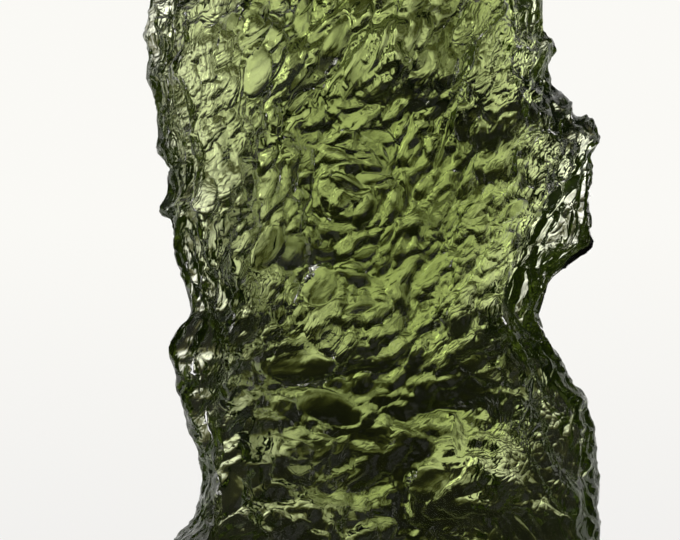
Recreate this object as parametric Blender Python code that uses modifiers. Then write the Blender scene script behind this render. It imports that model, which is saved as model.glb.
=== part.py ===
"""Moldavite: one flat, elongated splinter of natural green glass, deeply etched on every side.

It lies on its back, on the small spot where the lowest ridges are worn flat. X runs across it, Y along it
and Z up through it. The origin is under its middle, on the surface that it rests on.
Sizes are in millimetres until the last step.
"""

import bmesh
import bpy
import numpy as np
from mathutils import Vector, noise

MM = 0.001

# Height of the glass above and below the plane of its edge, and how far in from the edge it is fully thick
FRONT_HEIGHT = 4.4
BACK_HEIGHT = 3.3
FRONT_REACH = 6.0
BACK_REACH = 5.6
EDGE_KEENNESS = 0.54  # 0.5 is a round edge, and 1 a straight bevel

# The lower third is thicker, and meets the upper part in a ledge across the front
LEDGE_RISE = 1.0
LEDGE_WIDTH = 0.7

# Long waves of the whole body
WAVE_LENGTH = 9.0
WAVE_HEIGHT = 0.8
EDGE_WANDER = 1.1

# The belly of the back, which is worn flat in one spot
REST_SPOT = (0.3, 0.0)
BELLY_HEIGHT = 1.1
BELLY_REACH = 6.5
SPOT_REACH = 2.2
REST_WEAR = 0.24

# Etched scoops, as (spacing, depth), with sharp ridges left standing between them
SCOOPS = ((2.3, 0.7), (1.25, 0.42))
SCOOP_LENGTH = (1.0, 1.7)  # half lengths and half widths, in spacings
SCOOP_WIDTH = (0.5, 0.8)
EDGE_CALM = 0.35  # the scoops fade out this close to the edge, which has its own teeth
BACK_SHARE = 0.45  # how deep the scoops of the back are, as a share of the front's
SEED = 11

RINGS = 250
SEGMENTS = 230
SKIN_GRAIN = 0.17  # the size of the squares that the sculpted skin is laid out in again
TRIANGLES = 9600

GLASS_COLOUR = (0.09, 0.13, 0.03, 1.0)
GLASS_IOR = 1.49

# The edge of the stone seen from the front, as (y, x), from the upper tip to the lower one
LEFT_EDGE = (
    (16.6, 1.0), (16.4, -0.4), (15.9, -1.2), (15.6, -2.6), (14.9, -3.3), (14.5, -4.7), (13.8, -5.4),
    (13.5, -6.6), (12.8, -7.0), (12.4, -8.1), (11.9, -8.1), (11.4, -8.9), (10.8, -9.2), (10.1, -9.15), (9.6, -9.4), (9.2, -9.3),
    (8.8, -9.05), (8.3, -9.2), (7.6, -9.35), (7.2, -8.95), (6.4, -8.75), (5.6, -8.7), (4.8, -8.8),
    (4.4, -8.6), (4.0, -8.3), (3.2, -8.3), (2.8, -8.55), (2.4, -8.75), (2.0, -8.3), (1.5, -8.1),
    (0.8, -8.1), (0.4, -7.85), (-0.4, -7.65), (-1.2, -7.45), (-1.7, -7.45), (-2.3, -7.85), (-2.9, -8.25),
    (-3.4, -8.25), (-4.2, -7.95), (-5.2, -7.85), (-6.0, -7.65), (-6.8, -7.3), (-7.6, -7.1), (-8.4, -6.9),
    (-9.2, -7.05), (-10.0, -7.3), (-10.4, -7.8), (-10.9, -8.1), (-11.5, -8.0), (-12.0, -8.3), (-12.6, -7.5),
    (-13.2, -7.3), (-13.8, -6.0), (-14.5, -5.6), (-15.1, -4.0), (-15.8, -3.3), (-16.2, -1.4), (-16.7, -0.4),
    (-16.8, 1.6),
)
RIGHT_EDGE = (
    (16.6, 1.0), (16.3, 2.3), (15.8, 2.7), (15.2, 3.9), (14.6, 4.1), (13.9, 5.3), (13.3, 5.3),
    (12.6, 6.3), (11.7, 6.4), (10.8, 6.9), (10.0, 6.85), (9.6, 6.95), (9.2, 7.3), (8.8, 7.5), (8.4, 7.25),
    (7.9, 7.05), (7.5, 7.2), (7.2, 7.8), (6.8, 7.9), (6.4, 8.3), (6.0, 8.9), (5.6, 9.15), (5.2, 9.35),
    (4.9, 9.15), (4.4, 8.9), (3.6, 8.7), (2.4, 8.65), (1.7, 8.65), (1.2, 8.8), (0.8, 8.75), (0.55, 8.3),
    (0.3, 7.9), (0.0, 7.4), (-0.4, 7.0), (-1.2, 6.75), (-1.8, 6.55), (-2.4, 6.8), (-2.8, 7.1), (-3.2, 7.6),
    (-4.0, 7.7), (-4.4, 8.0), (-4.7, 8.5), (-5.6, 8.6), (-6.4, 8.85), (-7.2, 8.9), (-8.0, 9.05),
    (-9.2, 9.0), (-10.0, 9.1), (-10.8, 9.0), (-11.6, 9.1), (-12.2, 8.6), (-12.8, 8.7), (-13.4, 7.8),
    (-14.0, 7.6), (-14.6, 6.4), (-15.3, 6.3), (-15.8, 4.9), (-16.3, 4.4), (-16.6, 3.0), (-16.8, 1.6),
)

# The line of the ledge, as (x, y)
LEDGE = (
    (-9.0, -3.6), (-5.0, -3.9), (-3.4, -4.3), (-2.4, -4.1), (-1.2, -3.7), (0.4, -3.6), (1.8, -3.2),
    (5.0, -2.6), (9.0, -2.2),
)

# Long gouges, which leave the glass thin along both edges: (height of the floor, half width, route)
FRONT_GOUGES = (
    (2.5, 0.7, ((-6.2, 14.0), (-6.8, 10.5), (-6.7, 6.5), (-6.6, 3.2), (-6.8, 0.5), (-6.8, -2.0))),
    (2.2, 0.5, ((-6.9, -3.6), (-6.7, -6.4))),
    (1.8, 0.8, ((-5.9, -8.2), (-5.7, -10.2), (-4.8, -12.0))),
    (1.5, 0.8, ((8.2, 3.6), (7.6, 1.4), (6.4, -0.2), (6.0, -1.6))),
    (2.7, 0.5, ((6.2, 10.6), (5.2, 8.3), (4.9, 6.8))),
    (2.0, 0.5, ((7.9, -4.8), (8.1, -7.6))),
    (2.8, 0.5, ((4.9, -9.0), (7.3, -11.2))),
    (3.3, 1.0, ((0.8, 8.2), (2.6, 12.6))),
)
BACK_GOUGES = (
    (2.2, 0.7, ((-6.0, 13.4), (-6.9, 10.0), (-6.7, 5.2), (-6.6, 1.0))),
    (1.7, 0.8, ((-6.3, -7.0), (-5.6, -10.2))),
    (1.4, 0.8, ((8.0, 3.4), (7.0, 0.8), (6.2, -1.4))),
    (2.3, 1.1, ((3.4, 7.6), (0.4, 11.4))),
    (2.3, 0.9, ((-4.4, -8.2), (-0.6, -10.8))),
    (1.9, 0.9, ((6.6, -5.6), (6.4, -9.4))),
    (2.4, 0.8, ((-5.0, 6.6), (-2.6, 9.4))),
)
GOUGE_SLOPE = 0.9  # how steep a gouge's sides become
SOFT_CREASE = 0.3
MEANDER = 0.7  # how far the gouges wander off their routes
MEANDER_LENGTH = 2.6

# The way that the scoops run: a swirl in the middle of the front, and streaks elsewhere
SWIRL = (-1.2, 3.2)
SWIRL_REACH = 2.6
UPPER_LEAN = 57.0
LOWER_LEAN = 8.0
CORNER_LEAN = -62.0
BAND_LEAN = 88.0


def edge_at(points, along):
    """The second value of (first, second) points, read off at each first value."""
    table = np.array(sorted(points))
    return np.interp(along, table[:, 0], table[:, 1])


def smooth_step(value, width):
    """0 well below zero and 1 well above it, with a soft slope of this width between."""
    share = np.clip(value / width + 0.5, 0, 1)
    return share * share * (3 - 2 * share)


def soft_min(first, second, width):
    """The lower of two heights, rounded off where they cross."""
    share = np.clip(0.5 + 0.5 * (second - first) / width, 0, 1)
    return second * (1 - share) + first * share - width * share * (1 - share)


def distance_to_route(x, y, route):
    """How far each point is from the nearest place on a route of straight runs."""
    nearest = np.full(len(x), np.inf)
    for (ax, ay), (bx, by) in zip(route, route[1:]):
        run_x, run_y = bx - ax, by - ay
        share = ((x - ax) * run_x + (y - ay) * run_y) / (run_x * run_x + run_y * run_y)
        share = np.clip(share, 0, 1)
        nearest = np.minimum(nearest, np.hypot(x - ax - share * run_x, y - ay - share * run_y))
    return nearest


def distance_to_edge(x, y):
    """How far each point of the outline's plane is from the edge of the stone."""
    left = [(px, py) for py, px in LEFT_EDGE]
    right = [(px, py) for py, px in RIGHT_EDGE]
    return np.minimum(distance_to_route(x, y, left), distance_to_route(x, y, right))


def dome(distance, height, reach):
    """The height at a distance in from the edge, which is level past its reach."""
    inward = np.clip(distance / reach, 0, 1)
    return height * (inward * (2 - inward)) ** EDGE_KEENNESS


def meandering(x, y, depth):
    """The same places read off a crumpled map, so that what is drawn straight on it comes out winding."""
    places = [Vector((px, py, depth)) / MEANDER_LENGTH for px, py in zip(x, y)]
    shift = np.array([noise.noise_vector(place) for place in places]) * MEANDER
    return x + shift[:, 0], y + shift[:, 1]


def carved(height, x, y, gouges):
    """The height left once the gouges are cut into it."""
    for floor, half_width, route in gouges:
        away = distance_to_route(x, y, route) / half_width
        side = floor + GOUGE_SLOPE * half_width * (np.sqrt(1 + away * away) - 1)
        height = np.minimum(height, soft_min(height, side, SOFT_CREASE))
    return height


def near_spot(points, reach):
    """1 at the rest spot and 0 well away from it, seen from above."""
    away = np.hypot(points[:, 0] - REST_SPOT[0], points[:, 1] - REST_SPOT[1]) / reach
    return np.exp(-away * away)


def body_points(ball):
    """The unetched body: each point of a unit ball with its poles at the tips, moved onto the stone."""
    top, bottom = LEFT_EDGE[0][0], LEFT_EDGE[-1][0]
    y = (top + bottom) / 2 + (top - bottom) / 2 * ball[:, 2]
    left, right = edge_at(LEFT_EDGE, y), edge_at(RIGHT_EDGE, y)
    across = ball[:, 0] / np.maximum(np.hypot(ball[:, 0], ball[:, 1]), 1e-9)
    x = (left + right) / 2 + (right - left) / 2 * np.clip(across, -1, 1)
    inward = distance_to_edge(x, y)

    below_ledge = smooth_step(edge_at(LEDGE, x) - y, LEDGE_WIDTH)
    front = dome(inward, FRONT_HEIGHT, FRONT_REACH)
    front += LEDGE_RISE * below_ledge * np.clip(inward / 2, 0, 1)
    front = carved(front, *meandering(x, y, 0.0), FRONT_GOUGES)
    belly = BELLY_HEIGHT * near_spot(np.stack([x, y], axis=1), BELLY_REACH)
    back = dome(inward, BACK_HEIGHT, BACK_REACH)
    back = carved(back, *meandering(x, y, 20.0), BACK_GOUGES) + belly * np.clip(inward / 2, 0, 1)
    z = np.where(ball[:, 1] > 0, front, -back)
    return np.stack([x, y, z], axis=1), inward


def bent(points):
    """The body bent out of one plane by long, low waves, which leave the belly of the back alone."""
    settled = near_spot(points, BELLY_REACH) * (points[:, 2] < 0)
    drift = np.array([noise.noise(Vector((p[0], p[1], 40.0)) / (1.6 * WAVE_LENGTH)) for p in points])
    swell = np.array([noise.noise(Vector(p) / WAVE_LENGTH) for p in points])
    upward = np.sign(points[:, 2]) * np.clip(np.abs(points[:, 2]) / 2, 0, 1)
    lift = 2 * EDGE_WANDER * drift + 2 * WAVE_HEIGHT * swell * upward
    points[:, 2] += lift * (1 - settled)
    return points


def scoop_lean(points, inward):
    """The way that the scoops run at each point, as unit vectors in the plane of the stone."""
    x, y = points[:, 0], points[:, 1]
    away = np.hypot(x - SWIRL[0], y - SWIRL[1])
    around = np.arctan2(y - SWIRL[1], x - SWIRL[0]) + np.pi / 2
    lower = smooth_step(-3.5 - y, 3.0)
    pulls = (
        (np.ones_like(x), np.radians(UPPER_LEAN)),
        (4 * np.exp(-((away / SWIRL_REACH) ** 2)), around),
        (3 * lower, np.radians(LOWER_LEAN)),
        (8 * lower * smooth_step(x - 4.5, 3.0), np.radians(CORNER_LEAN)),
        (3 * np.exp(-((inward / 1.4) ** 2)), np.radians(BAND_LEAN)),
    )
    # Leans are added at twice their angle, because a streak has no front end
    double = sum(weight * np.exp(2j * lean) for weight, lean in pulls)
    lean = np.angle(double) / 2
    return np.stack([np.cos(lean), np.sin(lean), np.zeros_like(lean)], axis=1)


def spread_seeds(points, spacing, rng):
    """Points picked at random, none nearer to another than this spacing."""
    kept = np.empty((0, 3))
    picked = []
    for index in rng.permutation(len(points)):
        if len(kept) and ((kept - points[index]) ** 2).sum(axis=1).min() < spacing * spacing:
            continue
        kept = np.vstack([kept, points[index]])
        picked.append(index)
    return picked


def etched(points, normals, inward, spacing, depth, rng):
    """How deep the scoops of one size go at each point."""
    lean = scoop_lean(points, inward)
    eaten = np.zeros(len(points))
    for seed in spread_seeds(points, spacing, rng):
        half_length = spacing * rng.uniform(*SCOOP_LENGTH)
        half_width = spacing * rng.uniform(*SCOOP_WIDTH)
        deepest = depth * rng.uniform(0.5, 1.1)
        along = lean[seed] - normals[seed] * (lean[seed] @ normals[seed])
        along /= max(np.linalg.norm(along), 1e-9)
        aside = np.cross(normals[seed], along)
        offset = points - points[seed]
        share = (offset @ along / half_length) ** 2 + (offset @ aside / half_width) ** 2
        share += (offset @ normals[seed] / (1.5 * half_width)) ** 2
        same_side = np.clip(2 * normals @ normals[seed], 0, 1)
        eaten = np.maximum(eaten, deepest * np.clip(1 - share, 0, 1) * same_side)
    return eaten


def place(bm, points):
    for vertex, point in zip(bm.verts, points):
        vertex.co = point
    bm.normal_update()
    return np.array([v.normal for v in bm.verts])


def sculpt_stone(bm):
    """Moves the ball's vertices onto the etched stone."""
    rng = np.random.default_rng(SEED)
    points, inward = body_points(np.array([v.co for v in bm.verts]))
    points = bent(points)
    normals = place(bm, points)
    if normals[:, 2] @ points[:, 2] < 0:
        bmesh.ops.reverse_faces(bm, faces=bm.faces)
        normals = place(bm, points)
    for spacing, depth in SCOOPS:
        eaten = etched(points, normals, inward, spacing, depth, rng)
        calm = np.clip(inward / EDGE_CALM, 0, 1)
        calm *= 1 - near_spot(points, SPOT_REACH) * (points[:, 2] < 0)
        calm *= BACK_SHARE + (1 - BACK_SHARE) * smooth_step(normals[:, 2] + 0.1, 0.5)
        points = points - normals * (eaten * calm)[:, None]
        normals = place(bm, points)


def evaluated_mesh(obj):
    """The object's mesh with its modifiers applied, which are then removed."""
    graph = bpy.context.evaluated_depsgraph_get()
    mesh = bpy.data.meshes.new_from_object(obj.evaluated_get(graph))
    obj.modifiers.clear()
    mesh.calc_loop_triangles()
    return mesh


def even_skin(obj):
    """Lays the skin out again in even squares, so that no scoop's lip folds through another."""
    remesh = obj.modifiers.new("Even skin", "REMESH")
    remesh.mode = "VOXEL"
    remesh.voxel_size = SKIN_GRAIN
    obj.data = evaluated_mesh(obj)


def drop_crumbs(bm):
    """Keeps the stone alone, without any tooth of its edge that the scoops have cut free."""
    unseen = set(bm.verts)
    pieces = []
    while unseen:
        front = [unseen.pop()]
        piece = []
        while front:
            vertex = front.pop()
            piece.append(vertex)
            joined = [v for e in vertex.link_edges for v in e.verts if v in unseen]
            unseen.difference_update(joined)
            front.extend(joined)
        pieces.append(piece)
    pieces.sort(key=len)
    for crumb in pieces[:-1]:
        bmesh.ops.delete(bm, geom=crumb, context="VERTS")


def thin_out(obj, triangles):
    """Brings the mesh down to this many triangles, with its ridges kept."""
    decimate = obj.modifiers.new("Fewer triangles", "DECIMATE")
    decimate.ratio = triangles / len(obj.data.loop_triangles)
    decimate.use_collapse_triangulate = True
    obj.data = evaluated_mesh(obj)


def wear_flat(bm, height):
    """Cuts the underside off level at this height, and closes the cut with flat faces."""
    geometry = bm.verts[:] + bm.edges[:] + bm.faces[:]
    bmesh.ops.bisect_plane(
        bm, geom=geometry, dist=1e-4, plane_co=(0, 0, height), plane_no=(0, 0, -1), clear_outer=True
    )
    rim = [e for e in bm.edges if e.is_boundary]
    bmesh.ops.holes_fill(bm, edges=rim, sides=0)
    bmesh.ops.triangulate(bm, faces=[f for f in bm.faces if len(f.verts) > 3])


def set_down(bm):
    """Puts the middle of the base at the origin, and turns millimetres into metres."""
    corners = np.array([v.co for v in bm.verts])
    low, high = corners.min(axis=0), corners.max(axis=0)
    middle = Vector(((low[0] + high[0]) / 2, (low[1] + high[1]) / 2, low[2]))
    bmesh.ops.translate(bm, verts=bm.verts, vec=-middle)
    bmesh.ops.scale(bm, verts=bm.verts, vec=(MM, MM, MM))


def glass_material():
    """Green natural glass, glossy and see-through."""
    material = bpy.data.materials.new("moldavite_glass")
    material.use_nodes = True
    shader = material.node_tree.nodes["Principled BSDF"]
    shader.inputs["Base Color"].default_value = GLASS_COLOUR
    shader.inputs["Roughness"].default_value = 0.08
    shader.inputs["Metallic"].default_value = 0.0
    shader.inputs["IOR"].default_value = GLASS_IOR
    shader.inputs["Transmission Weight"].default_value = 0.6
    return material


def build_stone(collection):
    """The whole stone as one solid."""
    bm = bmesh.new()
    bmesh.ops.create_uvsphere(bm, u_segments=SEGMENTS, v_segments=RINGS, radius=1.0)
    sculpt_stone(bm)
    stone = bpy.data.objects.new("moldavite", bpy.data.meshes.new("moldavite"))
    bm.to_mesh(stone.data)
    bm.free()
    collection.objects.link(stone)
    even_skin(stone)
    thin_out(stone, TRIANGLES)

    bm = bmesh.new()
    bm.from_mesh(stone.data)
    drop_crumbs(bm)
    wear_flat(bm, min(v.co.z for v in bm.verts) + REST_WEAR)
    set_down(bm)
    bm.to_mesh(stone.data)
    bm.free()
    stone.data.shade_smooth()
    stone.data.set_sharp_from_angle(angle=np.radians(40))
    stone.data.materials.append(glass_material())
    return stone


def main():
    for obj in list(bpy.data.objects):
        bpy.data.objects.remove(obj, do_unlink=True)
    collection = bpy.data.collections.new("Moldavite")
    bpy.context.scene.collection.children.link(collection)
    build_stone(collection)


main()
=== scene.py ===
"""The looks of a moldavite: one flat splinter of green natural glass, lying on a luminous pale surface.

Lengths are in millimetres in the settings and while the skin is sculpted, and in metres in the scene.
X runs across the stone, Y along it and Z up through it.
"""

import math

import bpy
import numpy as np
from bpy.props import FloatProperty, FloatVectorProperty, IntProperty, PointerProperty
from mathutils.bvhtree import BVHTree
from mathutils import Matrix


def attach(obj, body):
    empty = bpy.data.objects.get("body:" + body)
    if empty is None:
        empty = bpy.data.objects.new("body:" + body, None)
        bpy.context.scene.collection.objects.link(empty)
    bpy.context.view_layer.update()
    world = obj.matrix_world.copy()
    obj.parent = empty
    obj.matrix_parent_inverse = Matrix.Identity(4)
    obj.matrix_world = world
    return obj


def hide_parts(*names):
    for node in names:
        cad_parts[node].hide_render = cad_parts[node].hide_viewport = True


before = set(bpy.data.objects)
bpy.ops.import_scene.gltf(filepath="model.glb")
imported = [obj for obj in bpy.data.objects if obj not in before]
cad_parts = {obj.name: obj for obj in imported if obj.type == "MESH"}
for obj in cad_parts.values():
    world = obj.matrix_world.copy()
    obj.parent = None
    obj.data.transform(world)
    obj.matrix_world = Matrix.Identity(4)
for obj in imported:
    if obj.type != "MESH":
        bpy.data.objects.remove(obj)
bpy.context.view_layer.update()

bl_info = {
    "name": "Moldavite",
    "version": (1, 0, 0),
    "blender": (4, 5, 0),
    "location": "View3D > Sidebar > Moldavite",
    "description": "Builds an etched splinter of green natural glass on a luminous surface",
    "category": "Object",
}

MM = 0.001


def linear(hex_colour):
    """An sRGB hex colour as linear red, green, blue."""
    channels = [int(hex_colour[i:i + 2], 16) / 255 for i in (1, 3, 5)]
    return [c / 12.92 if c <= 0.04045 else ((c + 0.055) / 1.055) ** 2.4 for c in channels]


# The picture. Places on the stone are given before PLAN_MIDDLE is taken off them

PICTURE_WIDTH = 680  # pixels
PIXELS_PER_MM = 25.0
PICTURE_CENTRE = (-1.36, 0.0)  # where the middle of the picture falls on the stone
PLAN_MIDDLE = (-0.05, -0.1)  # the middle of the outline, which the frame has at its origin
STONE_HEIGHT = 4.5  # the height of the stone's outline, where the picture has its scale
CAMERA_LENS = 120.0
CAMERA_SENSOR = 36.0

# The stage

FLOOR_SIZE = 1200
FLOOR_DROP = 0.02  # how far the sheet lies under the stone
FLOOR_SHADING = (-12, 2)  # from where to where along Y the painted shade on the sheet's near side fades into its far colour
LAMP_SIZE = 1600
LAMP_EDGE = (-10, 16)  # from where to where along Y the lamp turns from its dim near side to its full light
LAMP_RING = (0.7, 1.3)  # from which to which distance the lamp turns to its far light, in lamp depths
LAMP_TINTED_BELOW = 0.5  # the light from which on the lamp has its bright colour
# Weaker spots of the lamp, which light the stone's thin edges: (x, y, reach across, reach along, light)
SIDE_SPOTS = ((46, 8, 20, 18, 0.7), (-58, 8, 24, 18, 0.8), (-32, 28, 8, 8, 4.0))
UNLIT = "#101010"  # the sheet's and the wall's own colour, under the light that they give
WALL_SIDES = 96
WALL_RADIUS = 450
WALL_HEIGHT = 1200
WALL_FADE = (80, 400)  # from which to which height the wall's painted glow dims
WALL_TOP = 0.2  # the light of its top, as a share of the light low down
ROOM_COLOUR = "#FFFFFF"
ROOM_FADE = (0.05, 0.75)  # from which to which height of a ray's direction the room dims
SOFT_LIGHT_SIZE = (240, 200)
SOFT_LIGHT_PLACE = (-140, 120, 180)

# The ways that the scoops run, in degrees from X

SWIRL = (-1.2, 3.2)  # the middle of the swirl, left of the stone's middle
SWIRL_REACH = 2.4
UPPER_LEAN = 57.0
LOWER_LEAN = 8.0
LOWER_LEAN_BELOW = -3.5  # the Y around which the upper part's way turns to the lower part's
CORNER_LEAN = -62.0  # in the lower right corner
CORNER_BEYOND = 4.5  # the X around which the corner starts
BAND_LEAN = 88.0  # in the band along the left edge
BAND_BEYOND = -6.2  # the X around which the band starts
LEAN_SCATTER = 0.3  # radians

# How deep and how steep the etching is

BACK_SHARE = 0.2  # how deep the back is etched, as a share of the front
SHELF_RELIEF = 0.7  # how steep the scoops on the thin shelves are, as a share of those elsewhere
THIN_SHARE = 0.3  # how much of the glass under it a pit may go through
MOST_DEPTH = 3.0  # how deep the glass under a pit is looked at
JUST_UNDER = 0.02  # how far under the skin that look starts
LOWER_PART = -4.0  # the Y below which the scoops are shorter and flatter
LOWER_SHORTER = 0.35  # by which share they are shorter there
LOWER_FLATTER = 0.5  # and flatter
STEEPNESS_SPREAD = (0.4, 1.2)  # the least and most of a scoop's steepness, as shares of its layer's
BEND_SPREAD = 0.35  # how far the scoops are bent to the one side or the other
SEEN_PIT_STEP = 0.05  # how far the pits that are placed one by one lie below the scattered ones
CALM_SHARE = 0.25  # how much of the fine etching is left inside the pits that are placed one by one
PLAIN_SHARE = 0.3  # how much of the fine etching there is outside the grainy places
DRIFT_EVERY = 1.4  # the rows of the finest pits bend back and forth over about this length
DRIFT_BY = 1.2  # and by up to half of this

# Layers of random scoops: (spacing, range of half lengths, range of half widths), the ranges as shares of
# the spacing
BROAD_SCOOPS = (1.1, (0.6, 1.1), (0.26, 0.4))
FINE_SCOOPS = (0.55, (0.8, 1.4), (0.36, 0.5))
GRAINS = (0.4, (0.5, 0.8), (0.36, 0.5))
BROAD_STEEPNESS = 1.0
BROAD_RIDGES = 0.05  # how far the skin between the broad scoops stands out
FINE_RIDGES = 0.02  # and that between the fine ones
UNTOUCHED = -1.0  # the depth where there is no pit, higher than any ridge

# Rounds of smoothing: before the shelves are cut, after that, and over the finished ridges
FIRST_SMOOTHING = 18
SHELF_SMOOTHING = 8
LAST_SMOOTHING = 2
MERGED_WITHIN = 0.0005  # points of the solid that are nearer than this are one point

# How a bowl is sunk
CELL = 0.4  # the side of the columns in which the points near a bowl are looked up
SAME_SIDE = 0.1  # the cosine between two normals above which they are on one side of the stone
SAME_FACE = 0.3  # and above which a bowl reaches from one to the other
PAST_RIM = 1.2  # how far past its rim a bowl is worked out, as the square of its size
BOWL_REACH = 1.5  # how far off its own level a bowl reaches, in half widths
MOST_RAISED = 0.12  # how far the floor of a bowl may lie above the older skin
# How much older relief a bowl and a flat-floored window level, in mm, and how much their floors face up
BOWL_LEVEL = (0.22, 0.8)
WINDOW_LEVEL = (0.4, 1.5)
WINDOW_FLATNESS = 2  # a pit with a flatter floor than this is a window
TILT_PULL = 0.7  # how far a tilt of 1 pulls a floor's normal along X, and against Y
FRONT_REACH = 0.3  # how far from its place in the plan a pit's middle may be
FACING_UP = 0.15  # how far the normals of the front face up at least

# Thin shelves at the edges: (side, height of the shelf, the line along its inner wall)
TERRACES = (
    (1, 5.0, ((5.8, -2.6), (5.0, -1.6), (5.2, -0.5), (5.8, 1.4), (7.3, 3.0), (8.3, 3.8))),
    (-1, 4.9, ((-7.0, -7.5), (-6.2, -6.5), (-5.9, -5.0), (-5.9, -3.0), (-6.4, -1.5), (-7.4, -0.5))),
)
SLOPE_WIDTH = 0.3  # how wide the slope along that line is, as seen from above
OFF_STONE = 99.0  # where the line is taken to be above and below its ends, so nothing is cut there

# Places of small grains: the band along the left edge, weaker below, and round patches: (x, y, reach)
GRAINY_BAND = -5.6  # the X of the band's inner side
GRAINY_BAND_TOP = 4.0  # the Y around which it turns from weak to full
GRAINY_BAND_LOW = 0.3  # how strong its lower part is
GRAINY_PATCHES = (
    (4.8, 8.4, 2.0), (6.9, 5.2, 1.5), (6.3, -6.8, 2.4), (-1.0, -2.6, 1.1), (-4.0, -1.8, 1.4),
    (-6.4, 6.0, 1.6), (3.6, 1.6, 1.8), (2.6, -1.8, 1.6), (7.4, 1.2, 1.5),
)

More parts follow.
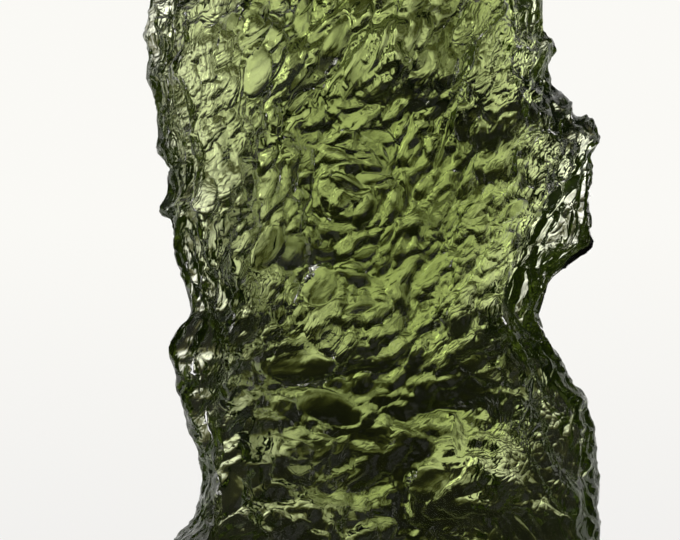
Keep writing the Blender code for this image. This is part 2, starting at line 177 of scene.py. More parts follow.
# Pits on the front, one by one:
# (x, y, half length, half width, lean, steepness, flatness of the floor, bend, tilt)
# A floor with a positive tilt faces the lower right and looks bright. One with a negative tilt looks dark
SEEN_PITS = (
    (-4.60, 7.60, 1.10, 0.58, 78, 0.40, 3, 0.0, 0.15),
    (-2.75, 9.90, 1.00, 0.42, 80, 0.35, 3, 0.0, 0.0),
    (-1.60, 8.60, 1.30, 0.48, 66, 0.30, 3, 0.0, 0.0),
    (-3.80, 7.60, 0.80, 0.17, 55, 0.60, 1, 0.0, -0.4),
    (-3.38, 7.35, 0.75, 0.17, 55, 0.60, 1, 0.0, -0.4),
    (-2.90, 7.20, 0.80, 0.22, 50, 0.60, 1, 0.0, 0.0),
    (-5.20, 10.40, 0.90, 0.30, 6, 0.60, 1, 0.0, 1.2),
    (-5.60, 9.60, 0.65, 0.45, 10, 0.30, 3, 0.0, 0.3),
    (-4.60, 9.10, 0.95, 0.24, 25, 0.65, 1, 0.0, -0.7),
    (-1.55, 7.10, 0.80, 0.20, 58, 0.65, 1, 0.0, 0.0),
    (-0.80, 7.20, 1.10, 0.20, 55, 0.60, 1, 0.0, 0.0),
    (-4.30, 4.95, 1.05, 0.36, 25, 0.60, 3, 0.3, 1.3),
    (-2.90, 6.45, 0.80, 0.28, 50, 0.45, 1, 0.0, 0.5),
    (-2.20, 6.50, 0.42, 0.22, 80, 0.45, 1, 0.0, 0.3),
    (-1.20, 6.30, 0.65, 0.32, 0, 0.40, 2, 0.0, 0.4),
    (-1.15, 5.45, 0.95, 0.16, 37, 0.60, 1, 0.0, 0.4),
    (0.20, 5.00, 0.90, 0.28, -18, 0.55, 3, 0.3, 0.9),
    (-0.60, 4.30, 0.55, 0.20, -5, 0.50, 1, 0.0, 0.5),
    (-0.15, 3.45, 0.75, 0.36, 5, 0.40, 2, 0.0, 0.3),
    (-1.10, 3.25, 0.85, 0.30, -20, 0.85, 1, 0.0, -0.8),
    (-5.00, 4.20, 0.60, 0.22, 5, 0.45, 1, 0.0, 0.3),
    (-0.45, 9.00, 0.16, 0.13, 0, 0.80, 1, 0.0, -0.5),
    (-0.45, 6.65, 0.32, 0.15, 0, 0.85, 1, 0.0, -0.6),
    (0.35, 6.40, 0.22, 0.13, 80, 0.80, 1, 0.0, -0.6),
    (-5.40, 2.25, 0.55, 0.24, 8, 0.45, 2, 0.0, 0.0),
    (-4.60, 2.40, 0.38, 0.22, 50, 0.50, 1, 0.0, 0.3),
    (-3.35, 2.00, 0.85, 0.20, 60, 0.60, 1, 0.0, 0.0),
    (-2.60, 2.35, 0.80, 0.18, 62, 0.50, 1, 0.0, 0.0),
    (-3.25, 0.70, 0.85, 0.75, 30, 0.40, 2, 0.0, 0.0),
    (-2.50, 0.60, 0.80, 0.18, 88, 0.55, 1, 0.4, 0.0),
    (-4.25, 0.90, 1.10, 0.60, 60, 0.30, 3, 0.0, 0.0),
    (-0.40, 0.60, 0.65, 0.38, 20, 0.40, 2, 0.0, 0.0),
    (0.50, 1.30, 0.65, 0.30, 58, 0.45, 1, 0.0, 0.0),
    (-0.50, -0.45, 1.25, 0.28, -14, 0.95, 1, 0.0, -0.9),
    (-0.60, -1.50, 0.90, 0.26, 15, 0.80, 1, 0.0, -0.7),
    (-2.20, -0.70, 0.85, 0.80, 70, 0.35, 3, 0.0, 0.0),
    (-5.40, -1.30, 0.55, 0.32, 20, 0.40, 2, 0.0, 0.0),
    (-4.40, -1.60, 0.45, 0.22, -45, 0.45, 1, 0.0, 0.0),
    (-3.70, -1.80, 0.50, 0.32, 80, 0.40, 1, 0.0, 0.0),
    (-2.90, -1.70, 0.45, 0.36, 70, 0.40, 1, 0.0, 0.0),
    (-3.50, -2.60, 0.80, 0.16, 5, 0.60, 1, 0.0, -0.3),
    (-0.45, -2.65, 0.22, 0.20, 0, 0.80, 1, 0.0, -0.5),
    (-1.80, -2.70, 0.28, 0.20, 30, 0.50, 1, 0.0, 0.0),
    (1.15, 2.85, 0.90, 0.20, 82, 0.85, 1, 0.0, -0.6),
    (1.80, 3.10, 0.48, 0.32, 55, 0.45, 1, 0.0, 0.4),
    (2.50, 2.60, 0.75, 0.25, 50, 0.50, 1, 0.0, 0.3),
    (2.00, 2.00, 0.75, 0.22, 65, 0.50, 1, 0.0, 0.0),
    (1.75, 1.30, 0.40, 0.20, 70, 0.50, 1, 0.0, 0.0),
    (2.90, 1.70, 0.55, 0.24, 60, 0.50, 1, 0.0, 0.0),
    (2.20, 0.80, 0.50, 0.32, 40, 0.45, 1, 0.0, 0.3),
    (2.30, 0.05, 0.95, 0.24, 50, 0.50, 1, 0.0, 0.0),
    (3.50, 0.90, 0.70, 0.24, 50, 0.50, 1, 0.0, 0.0),
    (1.50, -1.60, 0.55, 0.22, 70, 0.50, 1, 0.0, 0.0),
    (2.50, -1.00, 0.42, 0.18, 80, 0.50, 1, 0.4, 0.0),
    (5.40, 2.30, 0.95, 0.45, 20, 0.40, 2, 0.5, 0.0),
    (5.90, 1.00, 0.55, 0.26, 35, 0.45, 1, 0.0, 0.0),
    (5.65, -0.70, 0.90, 0.42, 82, 0.35, 3, 0.0, 0.0),
    (6.50, 0.40, 0.60, 0.28, 80, 0.45, 1, 0.0, 0.0),
    (2.70, 5.20, 1.40, 0.22, 72, 0.55, 1, 0.0, 0.3),
    (3.50, 6.70, 0.48, 0.18, 70, 0.55, 1, 0.0, 0.0),
    (4.50, 6.60, 0.55, 0.20, 40, 0.50, 1, 0.0, 0.0),
    (4.80, 9.70, 0.80, 0.24, 38, 0.50, 1, 0.0, 0.0),
    (6.50, 8.10, 1.25, 0.26, 52, 0.50, 1, 0.3, 0.0),
    (-1.80, -5.30, 1.35, 0.70, -15, 0.22, 2, 0.3, -0.3),
    (-3.00, -6.50, 0.60, 0.38, 5, 0.40, 2, 0.0, 0.0),
    (-2.80, -7.30, 0.32, 0.30, 0, 0.40, 1, 0.0, 0.0),
    (-2.10, -7.35, 0.65, 0.26, 50, 0.45, 1, 0.0, 0.0),
    (-5.75, -8.90, 1.00, 0.62, 75, 0.40, 3, 0.0, 0.0),
    (3.20, -6.50, 1.25, 0.22, -78, 0.55, 1, 0.0, 0.0),
    (7.85, -6.40, 1.35, 0.20, 74, 0.60, 1, 0.0, 0.0),
    (8.40, -6.90, 0.90, 0.16, 76, 0.55, 1, 0.0, 0.0),
    (5.80, -10.30, 1.30, 0.20, -48, 0.60, 1, 0.0, 0.0),
    (6.60, -10.00, 1.10, 0.18, -50, 0.60, 1, 0.0, 0.0),
    (2.20, -8.30, 0.90, 0.70, 20, 0.35, 3, 0.0, 0.0),
    (1.10, -8.20, 0.75, 0.40, -70, 0.35, 2, 0.0, 0.0),
    (3.80, -3.60, 0.60, 0.40, 10, 0.40, 2, 0.0, 0.0),
    (-0.60, 8.10, 1.00, 0.25, 60, 0.55, 1, 0.0, 0.0),
    (0.20, 8.40, 1.20, 0.26, 62, 0.60, 1, 0.0, -0.5),
    (0.95, 7.60, 1.00, 0.24, 58, 0.60, 1, 0.0, -0.4),
    (1.40, 8.90, 0.90, 0.25, 60, 0.55, 1, 0.0, 0.0),
    (-3.20, -3.60, 1.75, 0.48, 4, 0.30, 4, 0.0, 0.8),
    (-4.75, -4.00, 0.55, 0.14, -72, 1.40, 1, 0.0, 0.0),
    (-3.90, -4.42, 0.80, 0.15, 12, 1.40, 1, 0.0, 0.0),
    (-2.90, -4.32, 0.45, 0.14, -20, 1.40, 1, 0.0, 0.0),
    (-2.30, -4.15, 0.50, 0.14, 30, 1.40, 1, 0.0, 0.0),
    (-1.55, -3.90, 0.50, 0.14, 14, 1.40, 1, 0.0, 0.0),
    (-6.85, -2.45, 0.62, 0.34, 80, 0.35, 3, 0.0, 0.3),
    (-7.00, -3.90, 0.52, 0.42, 70, 0.30, 3, 0.0, 0.2),
    (-6.35, -3.10, 0.36, 0.20, 80, 0.40, 3, 0.0, 0.5),
    (-6.85, -0.90, 0.35, 0.22, 80, 0.40, 3, 0.0, 0.4),
    (-7.10, -1.70, 0.35, 0.20, 60, 0.40, 3, 0.0, 0.4),
    (-6.65, -6.30, 0.65, 0.20, 84, 0.40, 3, 0.0, 0.4),
    (-6.10, -5.10, 0.55, 0.24, 110, 0.40, 3, 0.0, 0.3),
    (-5.80, -2.10, 0.45, 0.26, 70, 0.40, 3, 0.0, 0.3),
    (-5.30, -1.00, 0.45, 0.26, 40, 0.40, 3, 0.0, 0.2),
    (-6.40, 0.70, 0.70, 0.26, 80, 0.35, 3, 0.0, 0.3),
    (-6.90, 1.70, 0.60, 0.20, 85, 0.40, 3, 0.0, 0.3),
    (-5.95, 1.80, 0.50, 0.24, 80, 0.40, 3, 0.0, 0.3),
    (7.20, 2.70, 1.10, 0.45, 72, 0.25, 3, 0.0, 0.0),
    (6.60, 1.60, 0.70, 0.36, 55, 0.30, 3, 0.0, 0.0),
    (8.00, 3.40, 0.90, 0.28, 78, 0.30, 3, 0.0, 0.0),
    (7.80, 1.80, 0.80, 0.26, 80, 0.30, 3, 0.0, 0.0),
    (7.70, 4.60, 0.70, 0.30, 30, 0.30, 3, 0.0, 0.0),
    (6.50, -1.40, 0.70, 0.30, 80, 0.30, 3, 0.0, 0.0),
)


def smooth_step(value, width):
    """0 well below zero and 1 well above it, with a soft slope of this width between."""
    share = np.clip(value / width + 0.5, 0, 1)
    return share * share * (3 - 2 * share)


def scoop_lean(points):
    """The way that the scoops run at each point, as an angle in the plane of the stone."""
    x, y = points[:, 0], points[:, 1]
    away = np.hypot(x - SWIRL[0], y - SWIRL[1])
    around = np.arctan2(y - SWIRL[1], x - SWIRL[0]) + np.pi / 2
    lower = smooth_step(LOWER_LEAN_BELOW - y, 3.0)
    band = smooth_step(BAND_BEYOND - x, 1.6)
    # Each way has a weight, against 1 for the upper part's way
    pulls = (
        (np.ones_like(x), np.radians(UPPER_LEAN)),
        (2.5 * np.exp(-((away / SWIRL_REACH) ** 2)), around),
        (3 * lower, np.radians(LOWER_LEAN)),
        (8 * lower * smooth_step(x - CORNER_BEYOND, 3.0), np.radians(CORNER_LEAN)),
        (3 * band, np.radians(BAND_LEAN)),
    )
    # Leans are added at twice their angle, because a streak has no front end
    double = sum(weight * np.exp(2j * lean) for weight, lean in pulls)
    return np.angle(double) / 2


def grainy(points):
    """How much of the skin is etched into small grains at each point."""
    upper = smooth_step(points[:, 1] - GRAINY_BAND_TOP, 3)
    share = smooth_step(GRAINY_BAND - points[:, 0], 1.2) * (GRAINY_BAND_LOW + (1 - GRAINY_BAND_LOW) * upper)
    for x, y, reach in GRAINY_PATCHES:
        away = np.hypot(points[:, 0] - x, points[:, 1] - y) / reach
        share = np.maximum(share, np.exp(-(away ** 4)))
    return share


def array_of(vertices, name):
    """The places or the normals of a mesh's vertices, one row each."""
    values = np.empty(len(vertices) * 3, np.float32)
    vertices.foreach_get(name, values)
    return values.reshape(-1, 3).astype(float)


def place_points(mesh, points):
    """Sets the places of a mesh's vertices."""
    mesh.vertices.foreach_set("co", points.astype(np.float32).ravel())
    mesh.update()


class Neighbours:
    """Finds the points near a place, from a table of the columns that they fall in, seen from above."""

    def __init__(self, points, cell):
        self.cell = cell
        keys = np.floor(points[:, :2] / cell).astype(np.int64)
        order = np.lexsort(keys.T)
        keys = keys[order]
        starts = np.nonzero(np.any(np.diff(keys, axis=0, prepend=keys[:1] - 1), axis=1))[0]
        ends = np.append(starts[1:], len(keys))
        self.cells = {tuple(keys[s]): order[s:e] for s, e in zip(starts, ends)}

    def near(self, place, reach):
        """The points in all columns that a square of this reach touches."""
        low = np.floor((place[:2] - reach) / self.cell).astype(int)
        high = np.floor((place[:2] + reach) / self.cell).astype(int)
        found = [
            self.cells[i, j]
            for i in range(low[0], high[0] + 1) for j in range(low[1], high[1] + 1) if (i, j) in self.cells
        ]
        return np.concatenate(found)


def scattered(points, spacing, rng):
    """Picks about one point for each cell of this size, in random places."""
    order = rng.permutation(len(points))
    keys = np.floor(points[order] / spacing + rng.uniform(0, 1, 3)).astype(np.int64)
    keys = (keys[:, 0] * 4096 + keys[:, 1]) * 4096 + keys[:, 2]
    _, first = np.unique(keys, return_index=True)
    return order[np.sort(first)]


class Skin:
    """The skin before a layer of pits, how steep they may be, and how deep the layer goes at each point."""

    def __init__(self, mesh, ridges, relief):
        self.points = array_of(mesh.vertices, "co")
        self.normals = array_of(mesh.vertices, "normal")
        self.finder = Neighbours(self.points, CELL)
        self.eaten = np.full(len(self.points), -ridges)
        self.relief = relief

    def sink(
            self, seed, half_length, half_width, steepness, angle,
            bend=0.0, flatness=1, level=0.0, pull=(0, 0, 0)):
        """Cuts an oblong bowl around a seed point, and levels older relief in it.

        Returns the points inside the bowl.
        """
        place, normal = self.points[seed], self.normals[seed]
        near = self.finder.near(place, half_length)
        near = near[self.normals[near] @ normal > SAME_SIDE]
        offset = self.points[near] - place
        round_it = (offset ** 2).sum(axis=1) < half_length * half_width
        normal = self.normals[near[round_it]].mean(axis=0)
        normal /= np.linalg.norm(normal)
        normal += pull
        normal /= np.linalg.norm(normal)
        along = np.array([math.cos(angle), math.sin(angle), 0.0])
        along -= normal * (along @ normal)
        along /= max(np.linalg.norm(along), 1e-9)
        aside = np.cross(normal, along)
        u = offset @ along / half_length
        v = offset @ aside / half_width + bend * u * u
        share = u * u + v * v
        height = offset @ normal - (offset[round_it] @ normal).mean()
        deepest = steepness * half_width
        inside = (share < PAST_RIM) & (np.abs(height) < BOWL_REACH * half_width)
        inside &= self.normals[near] @ normal > SAME_FACE
        near, share, height = near[inside], share[inside], height[inside]
        bowl = deepest * (1 - share ** flatness) + np.clip(height, -level, level)
        bowl = np.maximum(bowl, -MOST_RAISED)
        self.eaten[near] = np.maximum(self.eaten[near], bowl)
        return near[share < 1]

    def front_point(self, x, y):
        """The point of the front that is nearest to a place of the plan."""
        near = self.finder.near(np.array([x, y, 0.0]), FRONT_REACH)
        near = near[self.normals[near, 2] > FACING_UP]
        away = np.hypot(self.points[near, 0] - x, self.points[near, 1] - y)
        return near[np.argmin(away)]

    def front_share(self, edge, width):
        """1 on the front and BACK_SHARE on the back, changing where the normals face up by this much."""
        return BACK_SHARE + (1 - BACK_SHARE) * smooth_step(self.normals[:, 2] - edge, width)


def cut_terraces(mesh):
    """Flattens the front outside each terrace's line to a thin shelf, with a steep wall along the line.

    Returns how much each point belongs to a shelf.
    """
    points = array_of(mesh.vertices, "co")
    shelf = np.zeros(len(points))
    facing_up = smooth_step(array_of(mesh.vertices, "normal")[:, 2] - 0.05, 0.2)
    for side, height, line in TERRACES:
        line_x, line_y = (np.array(line) - PLAN_MIDDLE).T
        past = side * OFF_STONE
        beyond = side * (points[:, 0] - np.interp(points[:, 1], line_y, line_x, left=past, right=past))
        share = smooth_step(beyond - SLOPE_WIDTH / 2, SLOPE_WIDTH) * facing_up
        points[:, 2] -= share * np.maximum(points[:, 2] - height, 0)
        shelf = np.maximum(shelf, share)
    place_points(mesh, points)
    return shelf


def etch_scoops(skin, layer, steepness, where, rng):
    """Sinks a layer of random oblong bowls, one for each cell of its spacing, as often as `where` says."""
    spacing, half_lengths, half_widths = layer
    lower = smooth_step(LOWER_PART - skin.points[:, 1], 3.0)
    lean = scoop_lean(skin.points) + rng.normal(0, LEAN_SCATTER, len(skin.points)) * (1 + lower)
    chance = where(skin.points) if where else np.ones(len(skin.points))
    for seed in scattered(skin.points, spacing, rng):
        half_length = spacing * rng.uniform(*half_lengths) * (1 - LOWER_SHORTER * lower[seed])
        half_width = spacing * rng.uniform(*half_widths)
        steep = steepness * rng.uniform(*STEEPNESS_SPREAD)
        steep *= (1 - LOWER_FLATTER * lower[seed]) * skin.relief[seed]
        bend = rng.normal(0, BEND_SPREAD)
        if rng.uniform() < chance[seed]:
            skin.sink(seed, half_length, half_width, steep, lean[seed], bend)


def etch_seen_pits(skin):
    """Works out the pits that the photo shows one by one, apart from the skin's own layer.

    Returns how deep they go at each point, and a 1 for each point inside one.
    """
    layer = skin.eaten
    skin.eaten = np.full(len(skin.points), UNTOUCHED)
    calm = np.zeros(len(skin.points))
    for x, y, half_length, half_width, lean, steepness, flatness, bend, tilt in SEEN_PITS:
        seed = skin.front_point(x - PLAN_MIDDLE[0], y - PLAN_MIDDLE[1])
        level, upright = WINDOW_LEVEL if flatness > WINDOW_FLATNESS else BOWL_LEVEL
        inside = skin.sink(
            seed, half_length, half_width, steepness, math.radians(lean), bend, flatness,
            level, (TILT_PULL * tilt, -TILT_PULL * tilt, upright))
        calm[inside] = 1.0
    pits = skin.eaten
    skin.eaten = layer
    return pits, calm


def depth_of_glass(mesh, skin):
    """How much glass lies straight under each point of the skin, up to MOST_DEPTH."""
    mesh.calc_loop_triangles()
    corners = np.empty(len(mesh.loop_triangles) * 3, np.int32)
    mesh.loop_triangles.foreach_get("vertices", corners)
    tree = BVHTree.FromPolygons(skin.points.tolist(), corners.reshape(-1, 3).tolist())
    depths = np.full(len(skin.points), MOST_DEPTH)
    starts = (skin.points - JUST_UNDER * skin.normals).tolist()
    for i, (start, inward) in enumerate(zip(starts, (-skin.normals).tolist())):
        distance = tree.ray_cast(start, inward, MOST_DEPTH)[3]
        if distance is not None:
            depths[i] = distance
    return depths


def move_skin(mesh, skin):
    """Moves each point of the mesh in along its normal, less so on the back and where the glass is thin."""
    eaten = np.minimum(skin.eaten * skin.front_share(-0.3, 0.5), THIN_SHARE * depth_of_glass(mesh, skin))
    place_points(mesh, skin.points - skin.normals * eaten[:, None])


def store_etching(mesh, skin, calm):
    """Keeps how strong the finest etching is at each point: strong in the grains, weak in smooth pits."""
    strength = skin.front_share(0.1, 0.4) * (PLAIN_SHARE + (1 - PLAIN_SHARE) * grainy(skin.points))
    strength *= 1 - (1 - CALM_SHARE) * calm
    etching = mesh.attributes.new("fine_etching", "FLOAT", "POINT")
    etching.data.foreach_set("value", strength.astype(np.float32))


def modifier(obj, kind, **settings):
    """Puts a modifier of this kind on an object."""
    made = obj.modifiers.new(kind.title(), kind)
    for name, value in settings.items():
        setattr(made, name, value)


def applied(obj):
    """Applies the object's modifiers to its mesh."""
    graph = bpy.context.evaluated_depsgraph_get()
    mesh = bpy.data.meshes.new_from_object(obj.evaluated_get(graph))
    old = obj.data
    obj.modifiers.clear()
    obj.data = mesh
    bpy.data.meshes.remove(old)


def make_skin(settings):
    """The stone's surface: the frame's solid, smoothed, with its fine scoops and ridges etched in."""
    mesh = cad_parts["moldavite"].data.copy()
    mesh.name = "moldavite_skin"
    obj = bpy.data.objects.new("moldavite_skin", mesh)
    bpy.context.scene.collection.objects.link(obj)
    place_points(mesh, array_of(mesh.vertices, "co") / MM)
    mesh.materials.clear()

    modifier(obj, "WELD", merge_threshold=MERGED_WITHIN)
    modifier(obj, "REMESH", mode="VOXEL", voxel_size=settings.skin_grain)
    modifier(obj, "SMOOTH", factor=0.5, iterations=FIRST_SMOOTHING)
    applied(obj)
    relief = 1 - (1 - SHELF_RELIEF) * cut_terraces(obj.data)
    modifier(obj, "SMOOTH", factor=0.5, iterations=SHELF_SMOOTHING)
    applied(obj)

    # The broad scoops, left out where a pit is placed
    rng = np.random.default_rng(settings.seed)
    skin = Skin(obj.data, BROAD_RIDGES, relief)
    _, calm = etch_seen_pits(skin)
    etch_scoops(skin, BROAD_SCOOPS, BROAD_STEEPNESS, None, rng)
    skin.eaten *= 1 - calm
    move_skin(obj.data, skin)

    # The fine scoops and grains, and the placed pits through them
    skin = Skin(obj.data, FINE_RIDGES, relief)
    etch_scoops(skin, FINE_SCOOPS, settings.steepness, None, rng)
    etch_scoops(skin, GRAINS, settings.steepness, grainy, rng)
    pits, calm = etch_seen_pits(skin)
    skin.eaten = np.maximum(pits + SEEN_PIT_STEP, skin.eaten * (1 - calm))
    move_skin(obj.data, skin)
    store_etching(obj.data, skin, calm)

    obj.data.calc_loop_triangles()
    ratio = settings.triangles / len(obj.data.loop_triangles)
    modifier(obj, "SMOOTH", factor=0.5, iterations=LAST_SMOOTHING)
    modifier(obj, "DECIMATE", ratio=min(ratio, 1.0), use_collapse_triangulate=True)
    applied(obj)

    # Nothing reaches through the ground
    points = array_of(obj.data.vertices, "co") * MM
    points[:, 2] = np.maximum(points[:, 2], 0.0)
    place_points(obj.data, points)
    obj.data.shade_smooth()
    return obj


def add_node(tree, kind, settings=None, *values, **named_values):
    """Adds a node of this kind, sets its fields, and sets or links its inputs, in order or by name."""
    node = tree.nodes.new(kind)
    for name, value in (settings or {}).items():
        setattr(node, name, value)
    inputs = list(zip(node.inputs, values))
    inputs += [(node.inputs[name.replace("_", " ")], value) for name, value in named_values.items()]
    for socket, value in inputs:
        if isinstance(value, bpy.types.NodeSocket):
            tree.links.new(value, socket)
        else:
            socket.default_value = value
    return node


def etched_glass(settings):
    """Tektite glass, etched by the acids of the soil.

    It is clear and glossy, so its pits bend the light from below into bright and dark patches. It absorbs
    most blue and more red than green, which gives an olive green that deepens where the stone is thick.
    """
    material = bpy.data.materials.new("tektite_glass_etched")
    material.use_nodes = True
    tree = material.node_tree
    tree.nodes.clear()

    # The finest pits are oblong and lean as the scoops of the upper part do. A slow drift bends their rows
    place = add_node(tree, "ShaderNodeTexCoord").outputs["Object"]
    drift = add_node(tree, "ShaderNodeTexNoise", Vector=place, Scale=1 / (DRIFT_EVERY * MM), Detail=1.0)
    shift = add_node(
        tree, "ShaderNodeVectorMath", {"operation": "SUBTRACT"}, drift.outputs["Color"], (0.5, 0.5, 0.5))
    warped = add_node(
        tree, "ShaderNodeVectorMath", {"operation": "MULTIPLY_ADD"},
        shift.outputs["Vector"], (DRIFT_BY * MM, DRIFT_BY * MM, DRIFT_BY * MM), place)
    stretched = add_node(
        tree, "ShaderNodeMapping", {"vector_type": "TEXTURE"}, Vector=warped.outputs["Vector"],
        Rotation=(0, 0, math.radians(UPPER_LEAN)), Scale=[side * MM for side in settings.etching_size])
    pits = add_node(tree, "ShaderNodeTexVoronoi", Vector=stretched.outputs["Vector"], Scale=1.0)
    bowls = add_node(tree, "ShaderNodeMath", {"operation": "POWER"}, pits.outputs["Distance"], 2.0)
    where = add_node(tree, "ShaderNodeAttribute", {"attribute_name": "fine_etching"})
    height = add_node(
        tree, "ShaderNodeMath", {"operation": "MULTIPLY"}, bowls.outputs["Value"], where.outputs["Fac"])
    bump = add_node(
        tree, "ShaderNodeBump", Height=height.outputs["Value"], Distance=settings.etching_depth * MM)
    shader = add_node(
        tree, "ShaderNodeBsdfPrincipled", Base_Color=(1, 1, 1, 1), Metallic=0.0, Transmission_Weight=1.0,
        Roughness=settings.roughness, IOR=settings.ior, Normal=bump.outputs["Normal"])

    absorbed = [a / MM for a in settings.absorption]
    density = max(absorbed)
    volume = add_node(
        tree, "ShaderNodeVolumeAbsorption", Density=density,
        Color=[1 - a / density for a in absorbed] + [1.0])
    add_node(
        tree, "ShaderNodeOutputMaterial", Surface=shader.outputs["BSDF"], Volume=volume.outputs["Volume"])
    return material


def plain_material(name, hex_colour):
    """A matt material of one colour, and its Principled shader."""
    material = bpy.data.materials.new(name)
    material.use_nodes = True
    shader = material.node_tree.nodes["Principled BSDF"]
    shader.inputs["Base Color"].default_value = linear(hex_colour) + [1]
    shader.inputs["Roughness"].default_value = 0.9
    return material, shader


def lit_sheet(settings):
    """Opal acrylic, cast and lit from behind: an even pale ground, with painted shade that makes it a
    little greyer on the near side.
    """
    material, shader = plain_material("opal_acrylic_cast", UNLIT)
    tree = material.node_tree
    place = add_node(tree, "ShaderNodeTexCoord").outputs["Object"]
    # Painted shade: the sheet darkens towards the near side, as if the light fell off along Y
    along = add_node(tree, "ShaderNodeSeparateXYZ", Vector=place).outputs["Y"]
    share = add_node(
        tree, "ShaderNodeMapRange", Value=along,
        From_Min=FLOOR_SHADING[0] * MM, From_Max=FLOOR_SHADING[1] * MM)
    colour = add_node(tree, "ShaderNodeValToRGB", Fac=share.outputs["Result"])
    colour.color_ramp.elements[0].color = [*settings.floor_near_shaded, 1]
    colour.color_ramp.elements[1].color = [*settings.floor_far, 1]
    tree.links.new(colour.outputs["Color"], shader.inputs["Emission Color"])
    shader.inputs["Emission Strength"].default_value = 1.0
    return material


def lamp_spot(tree, place, middle, reach, light):
    """Light that fades smoothly all round a place of the lamp."""
    middle = [c * MM for c in middle] + [0]
    reach = [c * MM for c in reach] + [1]
    away = add_node(tree, "ShaderNodeVectorMath", {"operation": "SUBTRACT"}, place, middle)
    away = add_node(tree, "ShaderNodeVectorMath", {"operation": "DIVIDE"}, away.outputs["Vector"], reach)
    away = add_node(tree, "ShaderNodeVectorMath", {"operation": "LENGTH"}, away.outputs["Vector"])
    away = away.outputs["Value"]
    square = add_node(tree, "ShaderNodeMath", {"operation": "MULTIPLY"}, away, away)
    minus = add_node(tree, "ShaderNodeMath", {"operation": "MULTIPLY"}, square.outputs["Value"], -1.0)
    fade = add_node(tree, "ShaderNodeMath", {"operation": "EXPONENT"}, minus.outputs["Value"])
    spot = add_node(tree, "ShaderNodeMath", {"operation": "MULTIPLY"}, fade.outputs["Value"], light)
    return spot.outputs["Value"]


def lamp_diffuser(settings):
    """Polystyrene diffuser, extruded, over the lamp under the sheet.

    It is brightest to the upper left and dimmer all round, so the stone's slopes look bright or dark by the
    way that they face.
    """
    material, shader = plain_material("polystyrene_diffuser_extruded", "#000000")
    tree = material.node_tree
    place = add_node(tree, "ShaderNodeTexCoord").outputs["Object"]
    light = settings.panel_glow - settings.panel_low
    glow = lamp_spot(tree, place, settings.panel_middle, settings.panel_reach, light)
    for x, y, reach_x, reach_y, side_light in SIDE_SPOTS:
        side = lamp_spot(tree, place, (x, y), (reach_x, reach_y), side_light)
        glow = add_node(tree, "ShaderNodeMath", {"operation": "ADD"}, glow, side).outputs["Value"]

    away = add_node(tree, "ShaderNodeVectorMath", {"operation": "LENGTH"}, place).outputs["Value"]
    ring = [share * settings.panel_depth * MM for share in LAMP_RING]
    far = add_node(
        tree, "ShaderNodeMapRange", {"interpolation_type": "SMOOTHSTEP"}, Value=away,
        From_Min=ring[0], From_Max=ring[1], To_Min=settings.panel_low, To_Max=settings.panel_far)
    glow = add_node(tree, "ShaderNodeMath", {"operation": "ADD"}, glow, far.outputs["Result"])

    along = add_node(tree, "ShaderNodeSeparateXYZ", Vector=place).outputs["Y"]
    near = add_node(
        tree, "ShaderNodeMapRange", {"interpolation_type": "SMOOTHSTEP"}, Value=along,
        From_Min=LAMP_EDGE[0] * MM, From_Max=LAMP_EDGE[1] * MM, To_Min=settings.panel_near, To_Max=1.0)
    glow = add_node(
        tree, "ShaderNodeMath", {"operation": "MULTIPLY"}, glow.outputs["Value"], near.outputs["Result"])
    tint = add_node(tree, "ShaderNodeValToRGB", Fac=glow.outputs["Value"])
    tint.color_ramp.elements[0].color = [*settings.lamp_dim, 1]
    tint.color_ramp.elements[1].color = [*settings.lamp_bright, 1]
    tint.color_ramp.elements[1].position = LAMP_TINTED_BELOW
    tree.links.new(tint.outputs["Color"], shader.inputs["Emission Color"])
    tree.links.new(glow.outputs["Value"], shader.inputs["Emission Strength"])
    return material


def pale_wall(settings):
    """White paper, uncoated and lit by a painted glow, brightest low down: it fills the stone's rims with
    soft light.
    """
    material, shader = plain_material("white_paper_uncoated", UNLIT)
    tree = material.node_tree
    place = add_node(tree, "ShaderNodeTexCoord").outputs["Object"]
    height = add_node(tree, "ShaderNodeSeparateXYZ", Vector=place).outputs["Z"]
    # Painted light: the paper glows as emission, brightest low down and dimmer higher up
    glow = add_node(
        tree, "ShaderNodeMapRange", {"interpolation_type": "SMOOTHSTEP"}, Value=height,
        From_Min=WALL_FADE[0] * MM, From_Max=WALL_FADE[1] * MM,
        To_Min=settings.wall_glow, To_Max=WALL_TOP * settings.wall_glow)
    tree.links.new(glow.outputs["Result"], shader.inputs["Emission Strength"])
    shader.inputs["Emission Color"].default_value = [*settings.floor_far, 1]
    return material


def stage_object(name, height, material, hidden_from):
    """Makes the object that was just added a piece of the stage, and hides it from these kinds of rays."""
    obj = bpy.context.object
    obj.name = name
    obj.location.z = height * MM
    obj.data.materials.append(material)
    for rays in hidden_from:
        setattr(obj, "visible_" + rays, False)


def make_ground(settings):
    """The pale lit sheet, the lamp under it that only shows through the glass, and the wall round them."""
    bpy.ops.mesh.primitive_plane_add(size=FLOOR_SIZE * MM)
    stage_object("stage_floor", -FLOOR_DROP, lit_sheet(settings), ("transmission", "diffuse"))
    bpy.ops.mesh.primitive_plane_add(size=LAMP_SIZE * MM)
    stage_object(
        "stage_light_panel", -settings.panel_depth, lamp_diffuser(settings),
        ("camera", "glossy", "diffuse", "shadow"))
    bpy.ops.mesh.primitive_cylinder_add(
        vertices=WALL_SIDES, radius=WALL_RADIUS * MM, depth=WALL_HEIGHT * MM, end_fill_type="NOTHING")
    stage_object("stage_wall", 0, pale_wall(settings), ("glossy", "diffuse", "shadow"))


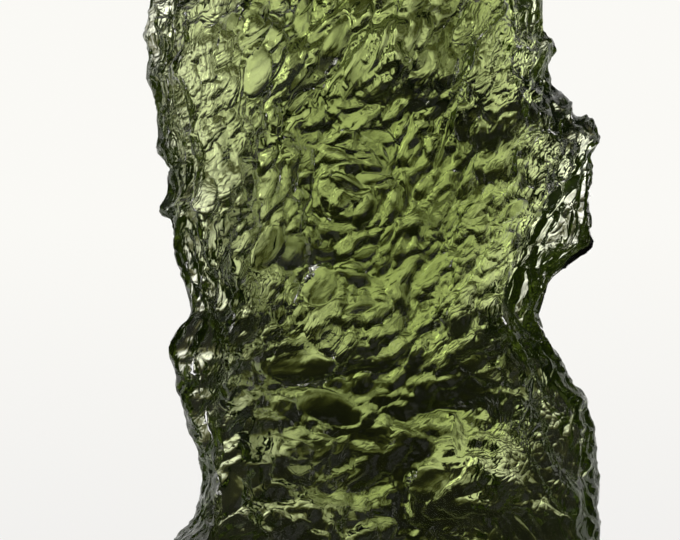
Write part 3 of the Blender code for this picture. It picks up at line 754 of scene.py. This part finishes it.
def make_room(settings):
    """A dim room, brightest near the horizon, which the stone's gloss reflects."""
    world = bpy.data.worlds.new("dim_room")
    bpy.context.scene.world = world
    world.use_nodes = True
    tree = world.node_tree
    background = tree.nodes["Background"]
    background.inputs["Color"].default_value = linear(ROOM_COLOUR) + [1]
    place = add_node(tree, "ShaderNodeTexCoord").outputs["Generated"]
    height = add_node(tree, "ShaderNodeSeparateXYZ", Vector=place).outputs["Z"]
    glow = add_node(
        tree, "ShaderNodeMapRange", {"interpolation_type": "SMOOTHSTEP"}, Value=height,
        From_Min=ROOM_FADE[0], From_Max=ROOM_FADE[1], To_Min=settings.room_rim, To_Max=settings.room_glow)
    tree.links.new(glow.outputs["Result"], background.inputs["Strength"])


def make_soft_light(settings):
    """One soft light from the upper left."""
    light = bpy.data.lights.new("soft_light", "AREA")
    light.shape = "RECTANGLE"
    light.size = SOFT_LIGHT_SIZE[0] * MM
    light.size_y = SOFT_LIGHT_SIZE[1] * MM
    light.energy = settings.lamp_power
    lamp = bpy.data.objects.new("soft_light", light)
    lamp.location = [c * MM for c in SOFT_LIGHT_PLACE]
    lamp.rotation_euler = (-lamp.location).to_track_quat("-Z", "Y").to_euler()
    bpy.context.scene.collection.objects.link(lamp)


def make_camera():
    """A camera straight above, far enough off for the picture's width to show its stretch of the stone."""
    camera = bpy.data.cameras.new("camera")
    camera.sensor_width = CAMERA_SENSOR
    camera.lens = CAMERA_LENS
    camera.clip_start = 0.005
    camera.clip_end = 2.0
    view_width = PICTURE_WIDTH / PIXELS_PER_MM * MM
    distance = view_width * camera.lens / camera.sensor_width
    centre = [(PICTURE_CENTRE[i] - PLAN_MIDDLE[i]) * MM for i in (0, 1)]
    viewer = bpy.data.objects.new("camera", camera)
    viewer.location = (centre[0], centre[1], distance + STONE_HEIGHT * MM)
    bpy.context.scene.collection.objects.link(viewer)
    bpy.context.scene.camera = viewer
    bpy.context.scene.view_settings.view_transform = "Standard"


class StoneSettings(bpy.types.PropertyGroup):
    skin_grain: FloatProperty(
        name="Skin grain", description="Size of the squares of the skin before its scoops, in millimetres",
        default=0.078, min=0.05, max=0.5)
    triangles: IntProperty(
        name="Triangles", description="Most triangles in the finished skin", default=199000, min=1000)
    seed: IntProperty(name="Seed", description="Start of the random scoops", default=7, min=0)
    steepness: FloatProperty(
        name="Steepness", description="Depth of the fine scoops, in half widths", default=0.9, min=0.0)
    ior: FloatProperty(
        name="IOR", description="Refractive index of the glass", default=1.49, min=1.0, max=2.0)
    roughness: FloatProperty(
        name="Roughness", description="Roughness of the etched surface", subtype="FACTOR",
        default=0.06, min=0.0, max=1.0)
    etching_size: FloatVectorProperty(
        name="Etching size", description="Length, width and height of the finest pits, in millimetres",
        default=(0.5, 0.24, 0.24), min=0.01, size=3)
    etching_depth: FloatProperty(
        name="Etching depth", description="Depth of the finest pits, in millimetres", default=0.11, min=0.0)
    absorption: FloatVectorProperty(
        name="Absorption", description="Red, green and blue light absorbed, per millimetre",
        default=(0.205, 0.175, 0.340), min=0.0, size=3)


class StageSettings(bpy.types.PropertyGroup):
    # The near colour is painted shade, the darker end of the falloff of light across the sheet
    floor_near_shaded: FloatVectorProperty(
        name="Sheet near", description="Colour of the lit sheet on the near side", subtype="COLOR",
        default=linear("#F1F0EE"), min=0.0, max=1.0, size=3)
    floor_far: FloatVectorProperty(
        name="Sheet far", description="Colour of the lit sheet on the far side, and of the wall",
        subtype="COLOR", default=linear("#FAF9F5"), min=0.0, max=1.0, size=3)
    lamp_dim: FloatVectorProperty(
        name="Lamp dim", description="Colour of the lamp where it is dim", subtype="COLOR",
        default=linear("#F0EC86"), min=0.0, max=1.0, size=3)
    lamp_bright: FloatVectorProperty(
        name="Lamp bright", description="Colour of the lamp where it is bright", subtype="COLOR",
        default=linear("#FFFDF7"), min=0.0, max=1.0, size=3)
    panel_depth: FloatProperty(
        name="Lamp depth", description="How far the lamp is under the sheet, in millimetres",
        default=60, min=1)
    panel_middle: FloatVectorProperty(
        name="Lamp middle", description="The brightest place of the lamp, in millimetres",
        default=(-12, 12), size=2)
    panel_reach: FloatVectorProperty(
        name="Lamp reach", description="How far from its middle the lamp fades, in millimetres",
        default=(28, 20), size=2)
    panel_glow: FloatProperty(
        name="Lamp glow", description="Light of the lamp's middle", default=1.75, min=0.0)
    panel_near: FloatProperty(
        name="Lamp near", description="Light of the lamp's near side, as a share", subtype="FACTOR",
        default=0.05, min=0.0, max=1.0)
    panel_low: FloatProperty(
        name="Lamp low", description="Light around the lamp", default=0.04, min=0.0)
    panel_far: FloatProperty(
        name="Lamp far", description="Light far from the lamp", default=0.5, min=0.0)
    wall_glow: FloatProperty(
        name="Wall glow", description="Light of the wall near the sheet", default=1.2, min=0.0)
    room_glow: FloatProperty(
        name="Room glow", description="Light of the room overhead", default=0.02, min=0.0)
    room_rim: FloatProperty(
        name="Room rim", description="Light of the room near the sheet", default=0.1, min=0.0)
    lamp_power: FloatProperty(
        name="Soft light", description="Power of the soft light", default=0.04, min=0.0, unit="POWER")


class MOLDAVITE_OT_stone(bpy.types.Operator):
    """Builds the etched stone around the frame's solid"""

    bl_idname = "moldavite.stone"
    bl_label = "Etched stone"

    def execute(self, context):
        settings = context.scene.moldavite_stone
        stone = make_skin(settings)
        stone.data.materials.append(etched_glass(settings))
        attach(stone, "root")
        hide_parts("moldavite")
        return {"FINISHED"}


class MOLDAVITE_OT_stage(bpy.types.Operator):
    """Sets the luminous surface, the room, the soft light and the camera"""

    bl_idname = "moldavite.stage"
    bl_label = "Stage"

    def execute(self, context):
        settings = context.scene.moldavite_stage
        make_ground(settings)
        make_room(settings)
        make_soft_light(settings)
        make_camera()
        return {"FINISHED"}


class MOLDAVITE_PT_panel(bpy.types.Panel):
    """Lists the sizes, the glass and the light, and the steps that build them"""

    bl_idname = "MOLDAVITE_PT_panel"
    bl_label = "Moldavite"
    bl_space_type = "VIEW_3D"
    bl_region_type = "UI"
    bl_category = "Moldavite"

    def draw(self, context):
        for settings, operator in (
            (context.scene.moldavite_stone, MOLDAVITE_OT_stone),
            (context.scene.moldavite_stage, MOLDAVITE_OT_stage),
        ):
            box = self.layout.box()
            for name in settings.__annotations__:
                box.prop(settings, name)
            box.operator(operator.bl_idname)


CLASSES = (StoneSettings, StageSettings, MOLDAVITE_OT_stone, MOLDAVITE_OT_stage, MOLDAVITE_PT_panel)


def register():
    for each in CLASSES:
        bpy.utils.register_class(each)
    bpy.types.Scene.moldavite_stone = PointerProperty(type=StoneSettings)
    bpy.types.Scene.moldavite_stage = PointerProperty(type=StageSettings)


def unregister():
    del bpy.types.Scene.moldavite_stage
    del bpy.types.Scene.moldavite_stone
    for each in reversed(CLASSES):
        bpy.utils.unregister_class(each)


def main():
    register()
    bpy.ops.moldavite.stage()
    bpy.ops.moldavite.stone()


if __name__ == "__main__":
    main()
